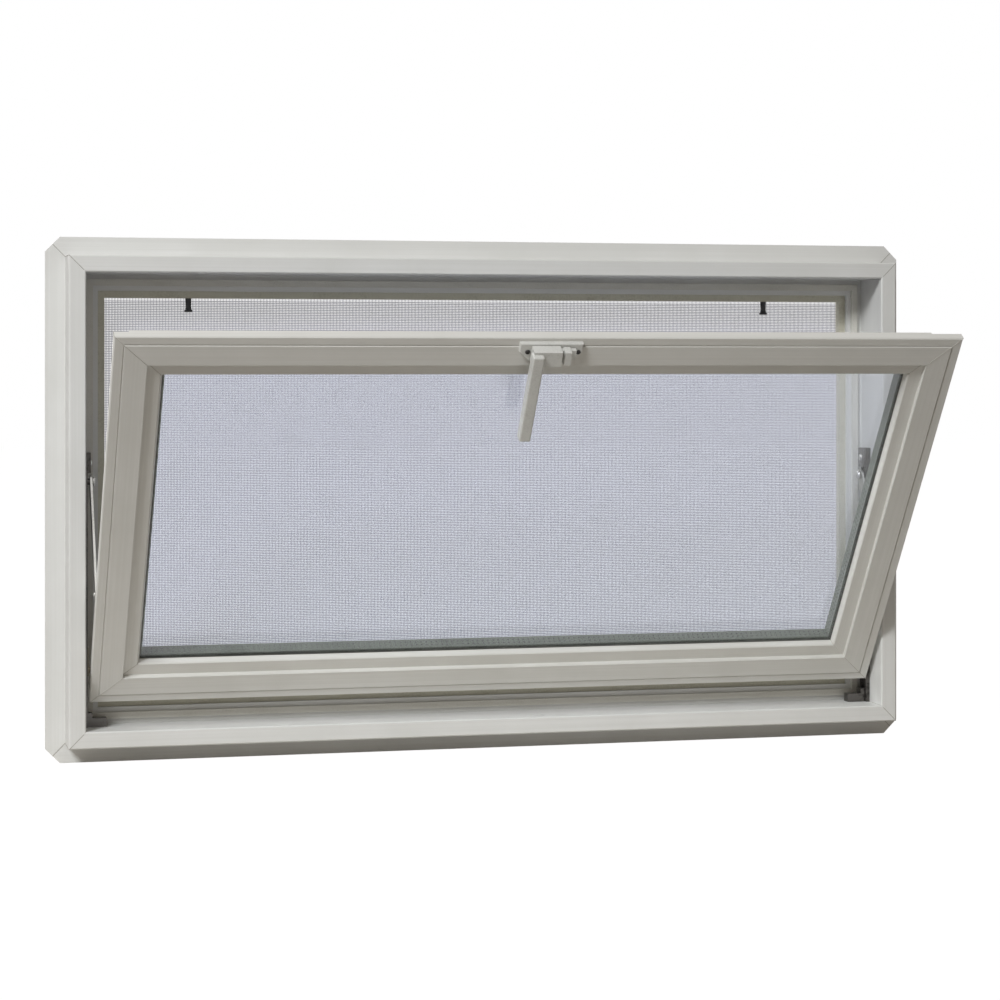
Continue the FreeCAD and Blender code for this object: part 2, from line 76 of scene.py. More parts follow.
# %% [markdown]
# ## The camera
# The photograph looks at the window from a little to its left, with the picture plane upright: the jambs
# stay parallel. A shift lens does that on a real camera, and Blender's camera has the same shift. Focal
# length and place come from a least-squares fit of the frame's and sash's corners, so they are plain
# numbers here.

# %% Camera at the photograph's place
eye = bpy.data.cameras.new("photo_camera")
eye.lens, eye.sensor_width, eye.shift_y = 94.294, 36.0, -0.13689
camera = bpy.data.objects.new("photo_camera", eye)
camera.location = (-0.59949, -2.45575, 0.36141)
turned_right = math.radians(14.0009)
camera.rotation_euler = (math.radians(90), 0, -turned_right)
scene.collection.objects.link(camera)
scene.camera = camera
print("camera mm", in_mm(camera.location), "lens", eye.lens)

# %% [markdown]
# ## One helper for every node
# Shaders and Geometry Nodes are both trees, so one small function serves both: it adds a node, sets its
# options, and fills each input with either a value or a link. Colours are written as the sRGB hex values
# that a colour picker shows, and one function turns them into the linear numbers that Blender computes
# with.

# %% Node and colour helpers
def linear(hex_colour):
    parts = [int(hex_colour[i:i + 2], 16) / 255 for i in (0, 2, 4)]
    return tuple(p / 12.92 if p <= 0.04045 else ((p + 0.055) / 1.055) ** 2.4 for p in parts) + (1.0,)


def add_node(tree, kind, inputs=None, **settings):
    made = tree.nodes.new(kind)
    for name, value in settings.items():
        setattr(made, name, value)
    for key, value in (inputs or {}).items():
        if isinstance(value, bpy.types.NodeSocket):
            tree.links.new(value, made.inputs[key])
        else:
            made.inputs[key].default_value = value
    return made


print("vinyl white in linear light", [round(v, 3) for v in linear("E0E0DE")])

# %% [markdown]
# ## A white world
# A product picture has white all round. The world is white only to camera, glossy and transmission rays,
# and a dim warm grey to all others, so the background costs the object no extra light.

# %% World
def studio_rays(tree):
    rays = add_node(tree, "ShaderNodeLightPath").outputs
    some = add_node(tree, "ShaderNodeMath", {0: rays["Is Camera Ray"], 1: rays["Is Glossy Ray"]},
                    operation="MAXIMUM")
    return add_node(tree, "ShaderNodeMath", {0: some.outputs[0], 1: rays["Is Transmission Ray"]},
                    operation="MAXIMUM").outputs[0]


world = bpy.data.worlds.new("studio_white")
world.use_nodes = True
world_tree = world.node_tree
world_tree.nodes.clear()
fill_light = add_node(world_tree, "ShaderNodeBackground", {"Color": linear("FFF2E0"), "Strength": 0.2})
white_card = add_node(world_tree, "ShaderNodeBackground", {"Color": linear("FFFFFF"), "Strength": 1.0})
world_mix = add_node(world_tree, "ShaderNodeMixShader", {
    0: studio_rays(world_tree), 1: fill_light.outputs[0], 2: white_card.outputs[0]})
add_node(world_tree, "ShaderNodeOutputWorld", {"Surface": world_mix.outputs[0]})
scene.world = world
print("world", world.name, "nodes", len(world_tree.nodes))

# %% [markdown]
# ## The floor
# The floor is a pale paper just under the window, which still catches a faint shadow. To the eye it is as
# white as the world. For the light that it throws back, it is pale under the window and falls off to the
# dim room around it.

# %% Floor paper
def blank_look(name):
    look = bpy.data.materials.new(name)
    look.use_nodes = True
    look.node_tree.nodes.clear()
    return look, look.node_tree


floor_look, floor_tree = blank_look("studio_floor_paper")
pale_within, dim_beyond = 0.3, 0.8
floor_place = add_node(floor_tree, "ShaderNodeTexCoord").outputs["Object"]
reach = add_node(floor_tree, "ShaderNodeVectorMath", {0: floor_place}, operation="LENGTH")
falloff = add_node(floor_tree, "ShaderNodeMapRange", {
    "Value": reach.outputs["Value"], "From Min": pale_within, "From Max": dim_beyond})
# Inputs 6 and 7 of this node are its two colours.
paper_tone = add_node(floor_tree, "ShaderNodeMix", {
    "Factor": falloff.outputs[0], 6: linear("DCD7CF"), 7: linear("7E7871")}, data_type="RGBA")
paper = add_node(floor_tree, "ShaderNodeBsdfDiffuse", {"Color": paper_tone.outputs[2]})
glow = add_node(floor_tree, "ShaderNodeEmission", {"Color": linear("FFFFFF"), "Strength": 1.16})
shaded_glow = add_node(floor_tree, "ShaderNodeMixShader", {0: 0.86, 1: paper.outputs[0], 2: glow.outputs[0]})
floor_mix = add_node(floor_tree, "ShaderNodeMixShader", {
    0: studio_rays(floor_tree), 1: paper.outputs[0], 2: shaded_glow.outputs[0]})
add_node(floor_tree, "ShaderNodeOutputMaterial", {"Surface": floor_mix.outputs[0]})

floor_half, floor_gap = 9.0, 0.5 * MM
floor_z = cad_box[0].z - floor_gap
floor_corners = [(x * floor_half, y * floor_half, floor_z) for x, y in ((-1, -1), (1, -1), (1, 1), (-1, 1))]
floor_mesh = bpy.data.meshes.new("studio_floor")
floor_mesh.from_pydata(floor_corners, [], [(0, 1, 2, 3)])
floor_mesh.materials.append(floor_look)
floor = bpy.data.objects.new("studio_floor", floor_mesh)
scene.collection.objects.link(floor)
print("floor at mm", round(floor_z / MM, 1))

# %% [markdown]
# ## Two lamps
# One broad lamp stands to the left in front and a weaker one behind. Each is a disc, because the size of
# a lamp sets how soft its shadows are, and a disc leaves no corners in the reflections on the glass.

# %% Lamps
def add_lamp(name, toward, distance, size, watts, colour):
    """A round soft lamp in a direction from the object's middle, facing it."""
    lamp = bpy.data.lights.new(name, "AREA")
    lamp.shape, lamp.size, lamp.energy, lamp.color = "DISK", size, watts, colour
    stand = bpy.data.objects.new(name, lamp)
    toward = Vector(toward).normalized()
    stand.location = (cad_box[0] + cad_box[1]) / 2 + toward * distance
    stand.rotation_euler = toward.to_track_quat("Z", "Y").to_euler()
    scene.collection.objects.link(stand)
    print(name, "at mm", in_mm(stand.location))


add_lamp("softbox", (-0.86, -1.0, 0.9), distance=4.0, size=1.1, watts=121.0, colour=(0.96, 0.982, 1.0))
add_lamp("back_fill", (-0.6, 1.0, 0.6), distance=4.0, size=1.4, watts=70.0, colour=(1.0, 0.998, 0.99))

# %% [markdown]
# ## Extruded vinyl
# The frame and sash are unplasticised PVC, pushed through a die and welded at the corners. The eye sees a
# satin off-white with very faint lines along the length from the die, and edges rounded by a third of a
# millimetre. The lines need a direction, so the material is made once for each way that a profile runs: a
# stretched noise does the lines.

# %% Vinyl finishes
# Die lines are about 2 mm apart across the profile and fade over a third of a metre along it.
die_pitch_mm, die_fade_mm = 2, 1000 / 3
die_across, die_along = 1 / (die_pitch_mm * MM), 1 / (die_fade_mm * MM)
# Handling leaves patches about 60 mm wide where the satin is a little duller.
patch_mm = 62.5


def extruded_vinyl(name, stretch, turn=0.0, pale="E0E0DE", dull="D8D8D5"):
    look, tree = blank_look(name)
    place = add_node(tree, "ShaderNodeTexCoord").outputs["Object"]
    turned = add_node(tree, "ShaderNodeMapping", {"Vector": place, "Rotation": (turn, 0, 0)},
                      vector_type="TEXTURE")
    along = add_node(tree, "ShaderNodeMapping", {"Vector": turned.outputs[0], "Scale": stretch})
    die_lines = add_node(tree, "ShaderNodeTexNoise", {
        "Vector": along.outputs[0], "Scale": 1.0, "Detail": 3.0})
    patches = add_node(tree, "ShaderNodeTexNoise", {
        "Vector": place, "Scale": 1 / (patch_mm * MM), "Detail": 4.0})
    tone = add_node(tree, "ShaderNodeMath", {0: die_lines.outputs[0], 1: patches.outputs[0]},
                    operation="MULTIPLY")
    colour = add_node(tree, "ShaderNodeValToRGB", {"Fac": tone.outputs[0]})
    low_stop, high_stop = colour.color_ramp.elements
    low_stop.position, low_stop.color = 0.12, linear(dull)
    high_stop.position, high_stop.color = 0.42, linear(pale)
    satin = add_node(tree, "ShaderNodeMapRange", {
        "Value": die_lines.outputs[0], "To Min": 0.38, "To Max": 0.46})
    soft_edge = add_node(tree, "ShaderNodeBevel", {"Radius": 0.3 * MM}, samples=4)
    ripple = add_node(tree, "ShaderNodeBump", {
        "Strength": 0.06, "Distance": 0.15 * MM, "Height": die_lines.outputs[0],
        "Normal": soft_edge.outputs[0]})
    body = add_node(tree, "ShaderNodeBsdfPrincipled", {
        "Base Color": colour.outputs[0], "Roughness": satin.outputs[0], "Normal": ripple.outputs[0],
        "IOR": 1.53, "Specular IOR Level": 0.4})
    add_node(tree, "ShaderNodeOutputMaterial", {"Surface": body.outputs[0]})
    print("finish", look.name)
    return look


sash_tilt = math.radians(35)
sash_tones = {"turn": sash_tilt, "pale": "DFDEDA", "dull": "D6D5D0"}
lines_level = (die_along, die_across, die_across)
lines_upright = (die_across, die_across, die_along)
vinyl_level = extruded_vinyl("extruded_pvc_level", lines_level)
vinyl_upright = extruded_vinyl("extruded_pvc_upright", lines_upright)
sash_vinyl_level = extruded_vinyl("extruded_pvc_sash_level", lines_level, **sash_tones)
sash_vinyl_upright = extruded_vinyl("extruded_pvc_sash_upright", lines_upright, **sash_tones)

# %% [markdown]
# ## Painted, plated and moulded parts
# The small parts differ mostly in roughness and in the grain of their surface. Powder paint has an orange
# peel, zinc plate a mottled grey, rubber a dull bloom and moulded plastic a fine spark texture. On the
# stay's tracks the dark tone and its mottle are painted shade and painted glints. One function makes all
# of them from two colours, a grain size in millimetres, and the shader's plain values.

# %% Small-part finishes
# Forty-five blotches to the metre, each as wide as a fingertip.
blotch_mm = 1000 / 45


def grained(name, dark, light, grain_mm, rough, relief_mm, metallic=0.0):
    look, tree = blank_look(name)
    place = add_node(tree, "ShaderNodeTexCoord").outputs["Object"]
    grain = add_node(tree, "ShaderNodeTexNoise", {
        "Vector": place, "Scale": 1 / (grain_mm * MM), "Detail": 3.0})
    blotch = add_node(tree, "ShaderNodeTexNoise", {
        "Vector": place, "Scale": 1 / (blotch_mm * MM), "Detail": 5.0})
    tone = add_node(tree, "ShaderNodeMath", {0: grain.outputs[0], 1: blotch.outputs[0]}, operation="ADD")
    colour = add_node(tree, "ShaderNodeValToRGB", {"Fac": tone.outputs[0]})
    low_stop, high_stop = colour.color_ramp.elements
    low_stop.position, low_stop.color = 0.7, linear(dark)
    high_stop.position, high_stop.color = 1.0, linear(light)
    haze = add_node(tree, "ShaderNodeMapRange", {
        "Value": blotch.outputs[0], "To Min": rough - 0.06, "To Max": rough + 0.08})
    peel = add_node(tree, "ShaderNodeBump", {
        "Strength": 0.3, "Distance": relief_mm * MM, "Height": grain.outputs[0]})
    body = add_node(tree, "ShaderNodeBsdfPrincipled", {
        "Base Color": colour.outputs[0], "Roughness": haze.outputs[0], "Normal": peel.outputs[0],
        "Metallic": metallic})
    add_node(tree, "ShaderNodeOutputMaterial", {"Surface": body.outputs[0]})
    print("finish", look.name)
    return look


# Powder-coated zinc casting: pale warm grey, orange peel of about 1.5 mm.
lock_paint = grained("powder_coated_zinc_casting", "C6C6C2", "D2D2CE", 1.5, 0.38, 0.05)
# Zinc plate on pressed steel. Its dark tone is painted shade and painted reflection of a dark room,
# and its pale blotches are painted glints.
track_shade_and_glints = grained("zinc_plate_painted_shade_and_glints", "0E0D0D", "5E5B58", 3.0, 0.3, 0.03, metallic=0.75)
# Bright zinc on the stay's arms and bars, and on rivet and screw heads.
rivet_zinc = grained("bright_zinc_plated_steel", "A9A8A2", "C9C8C3", 1.2, 0.3, 0.02, metallic=1.0)
# Black oxide on the lock's two screws.
screw_oxide = grained("black_oxide_steel", "2B2A29", "3D3B39", 1.0, 0.4, 0.02, metallic=0.8)
# Yellow passivation on the cast shoes, rubbed by the track.
shoe_zinc = grained("passivated_zinc_die_casting", "8C8474", "A89F8C", 1.6, 0.42, 0.03, metallic=0.7)
# Pale EPDM bulb seal, nearly the colour of the vinyl, with the dull bloom of rubber.
seal_rubber = grained("extruded_epdm_rubber", "CFCDC4", "D9D7CF", 0.8, 0.72, 0.04)
# Roll-formed aluminium screen frame under baked paint.
screen_paint = grained("baked_paint_on_roll_formed_aluminium", "BDBAA8", "CBC8B7", 2.0, 0.45, 0.02)
# PVC-coated glass-fibre thread of the insect screen, grey with a lilac cast.
mesh_thread = grained("pvc_coated_glass_fibre_thread", "7F7C95", "918EA7", 3.0, 0.6, 0.02)
# Injection-moulded plunger pulls.
knob_plastic = grained("injection_moulded_black_nylon", "0D0D0F", "18181B", 0.7, 0.5, 0.05)
# Mill-finish aluminium spacer between the panes. Its dark green-grey is painted shade between the panes,
# with the glass's green tint painted in.
spacer_painted_shade = grained("aluminium_spacer_painted_shade", "60665A", "72776A", 1.8, 0.4, 0.02, metallic=0.6)

# %% [markdown]
# ## Float glass
# The sash holds two panes. Glass is clear through its face and green at its edge, and it reflects a few
# percent of the room. Real refraction in Cycles would block the lamp, so shadow rays meet a transparent
# shader instead: the screen behind the panes stays lit, as behind a real window.

# %% Glass finish
# Float glass keeps a slight swell, eleven waves to the metre here, with hardly any relief.
swell_mm = 1000 / 11
float_glass, glass_tree = blank_look("float_glass")
glass_place = add_node(glass_tree, "ShaderNodeTexCoord").outputs["Object"]
swell = add_node(glass_tree, "ShaderNodeTexNoise", {
    "Vector": glass_place, "Scale": 1 / (swell_mm * MM), "Detail": 1.0})
wave = add_node(glass_tree, "ShaderNodeBump", {
    "Strength": 0.05, "Distance": 0.05 * MM, "Height": swell.outputs[0]})
film = add_node(glass_tree, "ShaderNodeMapRange", {"Value": swell.outputs[0], "To Min": 0.0, "To Max": 0.03})
pane = add_node(glass_tree, "ShaderNodeBsdfPrincipled", {
    "Base Color": linear("EFF1F5"), "Roughness": film.outputs[0], "Normal": wave.outputs[0], "IOR": 1.52,
    "Transmission Weight": 1.0})
clear = add_node(glass_tree, "ShaderNodeBsdfTransparent", {"Color": linear("F2F6F5")})
shadow_ray = add_node(glass_tree, "ShaderNodeLightPath").outputs["Is Shadow Ray"]
panes_mix = add_node(glass_tree, "ShaderNodeMixShader", {
    0: shadow_ray, 1: pane.outputs[0], 2: clear.outputs[0]})
add_node(glass_tree, "ShaderNodeOutputMaterial", {"Surface": panes_mix.outputs[0]})
print("finish", float_glass.name)

# %% [markdown]
# ## Dress the solids
# Each CAD node already carries a slot from the part's record. The slot is swapped for the finish of the
# real piece, found by a word in the node's name. What is left is vinyl, and it chooses by the way it
# runs.

# %% Assign the finishes
finish_by_word = {
    "plunger": knob_plastic, "screen_mesh": mesh_thread, "screen_": screen_paint,
    "glass_pane": float_glass, "glass_spacer": spacer_painted_shade, "frame_seal": seal_rubber,
    "lock_": lock_paint, "stay_track": track_shade_and_glints, "stay_shoe": shoe_zinc,
    "stay_arm": rivet_zinc, "sash_bar": rivet_zinc}


def vinyl_for(name):
    runs_up = any(word in name for word in ("jamb", "stile", "bead_left", "bead_right"))
    if name.startswith("frame_"):
        return vinyl_upright if runs_up else vinyl_level
    return sash_vinyl_upright if runs_up else sash_vinyl_level


for name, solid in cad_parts.items():
    found = [finish for word, finish in finish_by_word.items() if word in name]
    for slot in solid.material_slots:
        slot.material = found[0] if found else vinyl_for(name)
print("dressed", len(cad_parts))

# %% [markdown]
# ## Threads of the insect screen
# Insect mesh is woven glass-fibre thread, eighteen threads to the inch across and sixteen up. A Geometry
# Nodes tree lays one flattened thread many times in each direction and joins the two layers. The threads
# lie straight on each other, because an over-and-under weave at this pitch would need more than a million
# faces that no picture shows.

# %% Thread tree
def new_tree(name, sizes):
    tree = bpy.data.node_groups.new(name, "GeometryNodeTree")
    for label, kind in sizes.items():
        tree.interface.new_socket(label, in_out="INPUT", socket_type=kind)
    tree.interface.new_socket("Geometry", in_out="OUTPUT", socket_type="NodeSocketGeometry")
    return tree, add_node(tree, "NodeGroupInput").outputs


def finish_tree(tree, geometry, look):
    real = add_node(tree, "GeometryNodeRealizeInstances", {"Geometry": geometry})
    coated = add_node(tree, "GeometryNodeSetMaterial", {"Geometry": real.outputs[0], "Material": look})
    add_node(tree, "NodeGroupOutput", {0: coated.outputs[0]})
    print("tree", tree.name, "nodes", len(tree.nodes))


thread_flatness = 0.4
layer_lift = thread_flatness / 2
thread_tree, given = new_tree("lay_threads", {
    "Width": "NodeSocketFloat", "Height": "NodeSocketFloat", "Pitch across": "NodeSocketFloat",
    "Pitch up": "NodeSocketFloat", "Thread": "NodeSocketFloat"})
layers = []
for span, length, gap, axis, turn, depth in (
        ("Width", "Height", "Pitch across", "X", (0, 0, 0), -layer_lift),
        ("Height", "Width", "Pitch up", "Z", (0, math.pi / 2, 0), layer_lift)):
    count = add_node(thread_tree, "ShaderNodeMath", {0: given[span], 1: given[gap]}, operation="DIVIDE")
    half = add_node(thread_tree, "ShaderNodeMath", {0: given[span], 1: -0.5}, operation="MULTIPLY")
    lift = add_node(thread_tree, "ShaderNodeMath", {0: given["Thread"], 1: depth}, operation="MULTIPLY")
    first = add_node(thread_tree, "ShaderNodeCombineXYZ", {axis: half.outputs[0], "Y": lift.outputs[0]})
    step = add_node(thread_tree, "ShaderNodeCombineXYZ", {axis: given[gap]})
    row = add_node(thread_tree, "GeometryNodeMeshLine", {
        "Count": count.outputs[0], "Start Location": first.outputs[0], "Offset": step.outputs[0]},
        mode="OFFSET")
    radius = add_node(thread_tree, "ShaderNodeMath", {0: given["Thread"], 1: 0.5}, operation="MULTIPLY")
    thread = add_node(thread_tree, "GeometryNodeMeshCylinder", {
        "Vertices": 4, "Radius": radius.outputs[0], "Depth": given[length]}, fill_type="NONE")
    laid = add_node(thread_tree, "GeometryNodeInstanceOnPoints", {
        "Points": row.outputs[0], "Instance": thread.outputs[0], "Rotation": turn,
        "Scale": (1, thread_flatness, 1)})
    layers.append(laid.outputs[0])
cloth = add_node(thread_tree, "GeometryNodeJoinGeometry")
for layer in layers:
    thread_tree.links.new(layer, cloth.inputs[0])
finish_tree(thread_tree, cloth.outputs[0], mesh_thread)

# %% [markdown]
# ## The woven screen
# The tree's sizes come from the CAD mesh that it takes the place of. Real thread is 0.28 mm thick. It is
# drawn 0.5 mm wide and 0.2 mm thick here, because the mesh's tone comes from how much it covers. The tree
# is baked into a plain mesh, so that the finished piece carries no modifier.

# %% Bake the woven screen
def bake_tree(tree, name, values, seed_mesh=None):
    carrier = bpy.data.objects.new(name, seed_mesh or bpy.data.meshes.new(name + "_seed"))
    scene.collection.objects.link(carrier)
    grow = carrier.modifiers.new("grow", "NODES")
    grow.node_group = tree
    for socket in tree.interface.items_tree:
        if socket.in_out == "INPUT" and socket.name in values:
            grow[socket.identifier] = values[socket.name]
    evaluated = carrier.evaluated_get(bpy.context.evaluated_depsgraph_get())
    mesh = bpy.data.meshes.new_from_object(evaluated)
    carrier.modifiers.clear()
    carrier.data = mesh
    mesh.name = name
    print(name, "faces", len(mesh.polygons))
    return carrier


inch = 25.4 * MM
threads_across, threads_up, thread_width = 18, 16, 0.5 * MM
mesh_low, mesh_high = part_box("screen_mesh")
mesh_size = mesh_high - mesh_low
woven_screen = bake_tree(thread_tree, "woven_screen", {
    "Width": mesh_size.x, "Height": mesh_size.z, "Pitch across": inch / threads_across,
    "Pitch up": inch / threads_up, "Thread": thread_width})
woven_screen.data.transform(Matrix.Translation((mesh_low + mesh_high) / 2))
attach(woven_screen, "frame")
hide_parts("screen_mesh")

# %% [markdown]
# ## Places on the sash
# The sash is easiest to measure as if it stood upright: how far in from its edge, how far back from its
# face. It was built about its pivot and leans 35 degrees into the room, so one matrix takes such a place
# into the window's frame. The sizes are the CAD model's own, in millimetres.

# %% Sash matrix
sash_half, sash_tall = 382.725, 409.85
pivot_y, pivot_z = -8.5, 76.934
pivot_depth, pivot_height = 25, 18
sash_place = Matrix.Translation(Vector((0, pivot_y, pivot_z)) * MM) @ Matrix.Rotation(sash_tilt, 4, "X")


def on_sash(x, height, depth):
    return sash_place @ (Vector((x, depth - pivot_depth, height - pivot_height)) * MM)


def sash_loop(inset, depth):
    wide, low, high = sash_half - inset, inset, sash_tall - inset
    outline = ((-wide, low), (wide, low), (wide, high), (-wide, high))
    return [on_sash(x, height, depth) for x, height in outline]


sash_back = sash_place.to_3x3() @ Vector((0, 1, 0))
print("sash top edge mm", in_mm(on_sash(0, sash_tall, 0)))

# %% [markdown]
# ## The raised face of the sash
# Inside the fine groove near its edge, the face of the extrusion stands a little proud, and the lamp
# draws a bright line along that step. A step of two thirds of a millimetre is too fine for the solids, so
# it is a thin plate here. Four loops of corners on the sash are its outline, and each pair of
# neighbouring loops is bridged by four faces.

# %% Face plate
plate_outer, plate_inner, plate_rise, plate_root = 9.4, 29.3, 0.65, 0.3
plate_loops = [sash_loop(inset, depth) for inset, depth in (
    (plate_outer, plate_root), (plate_outer, -plate_rise),
    (plate_inner, -plate_rise), (plate_inner, plate_root))]
face_plate = bpy.data.objects.new("sash_face_plate", bpy.data.meshes.new("sash_face_plate"))
scene.collection.objects.link(face_plate)
face_plate.data.materials.append(sash_vinyl_level)
face_plate.data.materials.append(sash_vinyl_upright)
plate = bmesh.new()
rows = [[plate.verts.new(corner) for corner in loop] for loop in plate_loops]
for row, after in zip(rows, rows[1:] + rows[:1]):
    for i in range(4):
        strip = plate.faces.new((row[i], row[(i + 1) % 4], after[(i + 1) % 4], after[i]))
        strip.material_index = i % 2
bmesh.ops.recalc_face_normals(plate, faces=plate.faces)
plate.to_mesh(face_plate.data)
plate.free()
print(face_plate.name, "faces", len(face_plate.data.polygons))

# %% [markdown]
# ## The spindle's hole
# The lock's spindle runs through the plate, under the lock's base. A Boolean modifier cuts the hole with
# a round drill, the way a hole is drilled in the real rail. Its result is kept as a plain mesh and the
# drill goes.

# %% Drill the face plate
spindle_x, spindle_below_edge = -4, 13
hole_radius, drill_length = 5.5 * MM, 4 * MM
spindle_spot = on_sash(spindle_x, sash_tall - spindle_below_edge, 0)
through_sash = sash_back.to_track_quat("Z", "Y").to_matrix().to_4x4()
drill = bmesh.new()
bmesh.ops.create_cone(drill, cap_ends=True, segments=24, radius1=hole_radius, radius2=hole_radius,
                      depth=drill_length, matrix=Matrix.Translation(spindle_spot) @ through_sash)
cutter = bpy.data.objects.new("spindle_drill", bpy.data.meshes.new("spindle_drill"))
drill.to_mesh(cutter.data)
drill.free()
scene.collection.objects.link(cutter)
hole = face_plate.modifiers.new("spindle_hole", "BOOLEAN")
hole.object, hole.operation = cutter, "DIFFERENCE"
drilled = face_plate.evaluated_get(bpy.context.evaluated_depsgraph_get())
face_plate.data = bpy.data.meshes.new_from_object(drilled)
face_plate.modifiers.clear()
bpy.data.objects.remove(cutter)
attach(face_plate, "sash")
print(face_plate.name, "faces", len(face_plate.data.polygons))

# %% [markdown]
# ## Weld seams at the mitres
# Weld seams, gaskets and the screen's spline are all thin strips along a path. Their paths are a few
# corner points each, and one Geometry Nodes tree sweeps a small round along whatever path it is given.
# The seams come first: a fused corner is scraped flat after welding, which leaves a fine line.

# %% Seams swept along the mitres
def strip_tree(name, look):
    tree, given = new_tree(name, {"Path": "NodeSocketGeometry", "Radius": "NodeSocketFloat",
                                  "Sides": "NodeSocketInt"})
    line = add_node(tree, "GeometryNodeMeshToCurve", {0: given["Path"]})
    outline = add_node(tree, "GeometryNodeCurvePrimitiveCircle", {
        "Resolution": given["Sides"], "Radius": given["Radius"]}, mode="RADIUS")
    swept = add_node(tree, "GeometryNodeCurveToMesh", {
        "Curve": line.outputs[0], "Profile Curve": outline.outputs[0], "Fill Caps": True})
    finish_tree(tree, swept.outputs[0], look)
    return tree


def path_mesh(name, paths, closed=False):
    points, edges = [], []
    for path in paths:
        start = len(points)
        points += path
        edges += [(start + i, start + i + 1) for i in range(len(path) - 1)]
        if closed:
            edges.append((start + len(path) - 1, start))
    mesh = bpy.data.meshes.new(name)
    mesh.from_pydata(points, edges, [])
    return mesh


# Scraped vinyl is duller than the die's satin. The sash's seams show paler in the photograph.
frame_weld = grained("scraped_pvc_weld", "918E87", "A5A29A", 1.0, 0.6, 0.05)
sash_weld = grained("polished_pvc_weld", "AFACA5", "BFBCB5", 1.0, 0.5, 0.04)
# Each point of a section is how far in from the edge it lies, and its depth, round the profile's outside.
frame_half, frame_low, frame_high = 403.225, 9.2, 460.05
frame_section = [(-11.6, -3), (0, -3), (0, -46.4), (0.6, -47), (13.3, -47), (15.5, -45.4), (15.5, -17)]
sash_section = [(0, 7.5), (0, 0.6), (0.6, 0), (8.1, 0), (plate_outer, -plate_rise),
                (plate_inner, -plate_rise), (29.5, 4), (42.2, 4), (44.5, 10)]
sides = (-1, 1)
corners = [(side, top) for side in sides for top in (False, True)]


def on_frame(x, z, y):
    return Vector((x, y, z)) * MM


frame_paths = [[on_frame(side * (frame_half - inset), frame_high - inset if top else frame_low + inset, y)
                for inset, y in frame_section] for side, top in corners]
sash_paths = [[on_sash(side * (sash_half - inset), sash_tall - inset if top else inset, depth)
               for inset, depth in sash_section] for side, top in corners]
seam = {"Radius": 0.3 * MM, "Sides": 6}
frame_welds = bake_tree(strip_tree("weld_strip", frame_weld), "frame_weld_seams", seam,
                        path_mesh("frame_weld_paths", frame_paths))
sash_welds = bake_tree(strip_tree("sash_weld_strip", sash_weld), "sash_weld_seams", seam,
                       path_mesh("sash_weld_paths", sash_paths))
for seams, body in ((frame_welds, "frame"), (sash_welds, "sash")):
    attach(seams, body)

# %% [markdown]
# ## Gaskets and the screen's spline
# A dark lip of rubber closes the joint between each pane and the vinyl. On the outside of the screen a
# ribbed cord, the spline, presses the mesh into a groove of its frame. All three run round a rectangle.

# %% Rubber strips
# Soft PVC and its bloom: dark grey with next to no shine.
gasket_rubber = grained("soft_pvc_glazing_gasket", "4A4B47", "5A5B57", 0.8, 0.7, 0.03)
spline_rubber = grained("ribbed_pvc_screen_spline", "55564F", "66675F", 0.9, 0.65, 0.15)
room_lip = sash_loop(inset=44.7, depth=9.8)
weather_lip = sash_loop(inset=39.2, depth=28.3)
gasket = bake_tree(strip_tree("gasket_strip", gasket_rubber), "glazing_gaskets",
                   {"Radius": 0.7 * MM, "Sides": 6},
                   path_mesh("gasket_paths", [room_lip, weather_lip], closed=True))
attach(gasket, "sash")
spline_x, spline_low, spline_high, spline_y = 370.2, 42.2, 427.05, 19.8
spline_loop = [on_frame(x, z, spline_y) for x, z in (
    (-spline_x, spline_low), (spline_x, spline_low), (spline_x, spline_high), (-spline_x, spline_high))]
spline = bake_tree(strip_tree("spline_strip", spline_rubber), "screen_spline",
                   {"Radius": 1.6 * MM, "Sides": 10}, path_mesh("spline_path", [spline_loop], closed=True))
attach(spline, "frame")

# %% [markdown]
# ## Perforated spacer
# The aluminium spacer between the panes is filled with drying beads, and rows of pinholes on its inner
# side let them reach the air inside. Curve to Points steps along two loops on that side, and each step
# gets a small dark disc, painted shade for the inside of a hole.

# %% Spacer pinholes
# Painted shade for the inside of a hole: nearly black, without shine.
pinhole_painted_shade = grained("painted_shade_in_pinhole", "2E302C", "3C3E39", 0.5, 0.8, 0.02)
disc_thickness = 0.12 * MM
pinhole_tree, given = new_tree("pinhole_rows", {
    "Path": "NodeSocketGeometry", "Pitch": "NodeSocketFloat", "Radius": "NodeSocketFloat",
    "Across": "NodeSocketVector"})
line = add_node(pinhole_tree, "GeometryNodeMeshToCurve", {0: given["Path"]})
steps = add_node(pinhole_tree, "GeometryNodeCurveToPoints", {
    "Curve": line.outputs[0], "Length": given["Pitch"]}, mode="LENGTH")
inward = add_node(pinhole_tree, "ShaderNodeVectorMath", {0: steps.outputs["Tangent"], 1: given["Across"]},
                  operation="CROSS_PRODUCT")
facing = add_node(pinhole_tree, "FunctionNodeAlignRotationToVector", {"Vector": inward.outputs[0]}, axis="Z")
disc = add_node(pinhole_tree, "GeometryNodeMeshCylinder", {
    "Vertices": 8, "Radius": given["Radius"], "Depth": disc_thickness}, fill_type="NGON")
holes = add_node(pinhole_tree, "GeometryNodeInstanceOnPoints", {
    "Points": steps.outputs[0], "Instance": disc.outputs[0], "Rotation": facing.outputs[0]})
finish_tree(pinhole_tree, holes.outputs[0], pinhole_painted_shade)
spacer_inset, row_depths = 46.5, (17, 21)
pinhole_loops = [sash_loop(spacer_inset, depth) for depth in row_depths]
pinhole_paths = path_mesh("pinhole_paths", pinhole_loops, closed=True)
pinholes = bake_tree(pinhole_tree, "spacer_pinholes", {
    "Pitch": 5 * MM, "Radius": 0.9 * MM, "Across": sash_back}, pinhole_paths)
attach(pinholes, "sash")

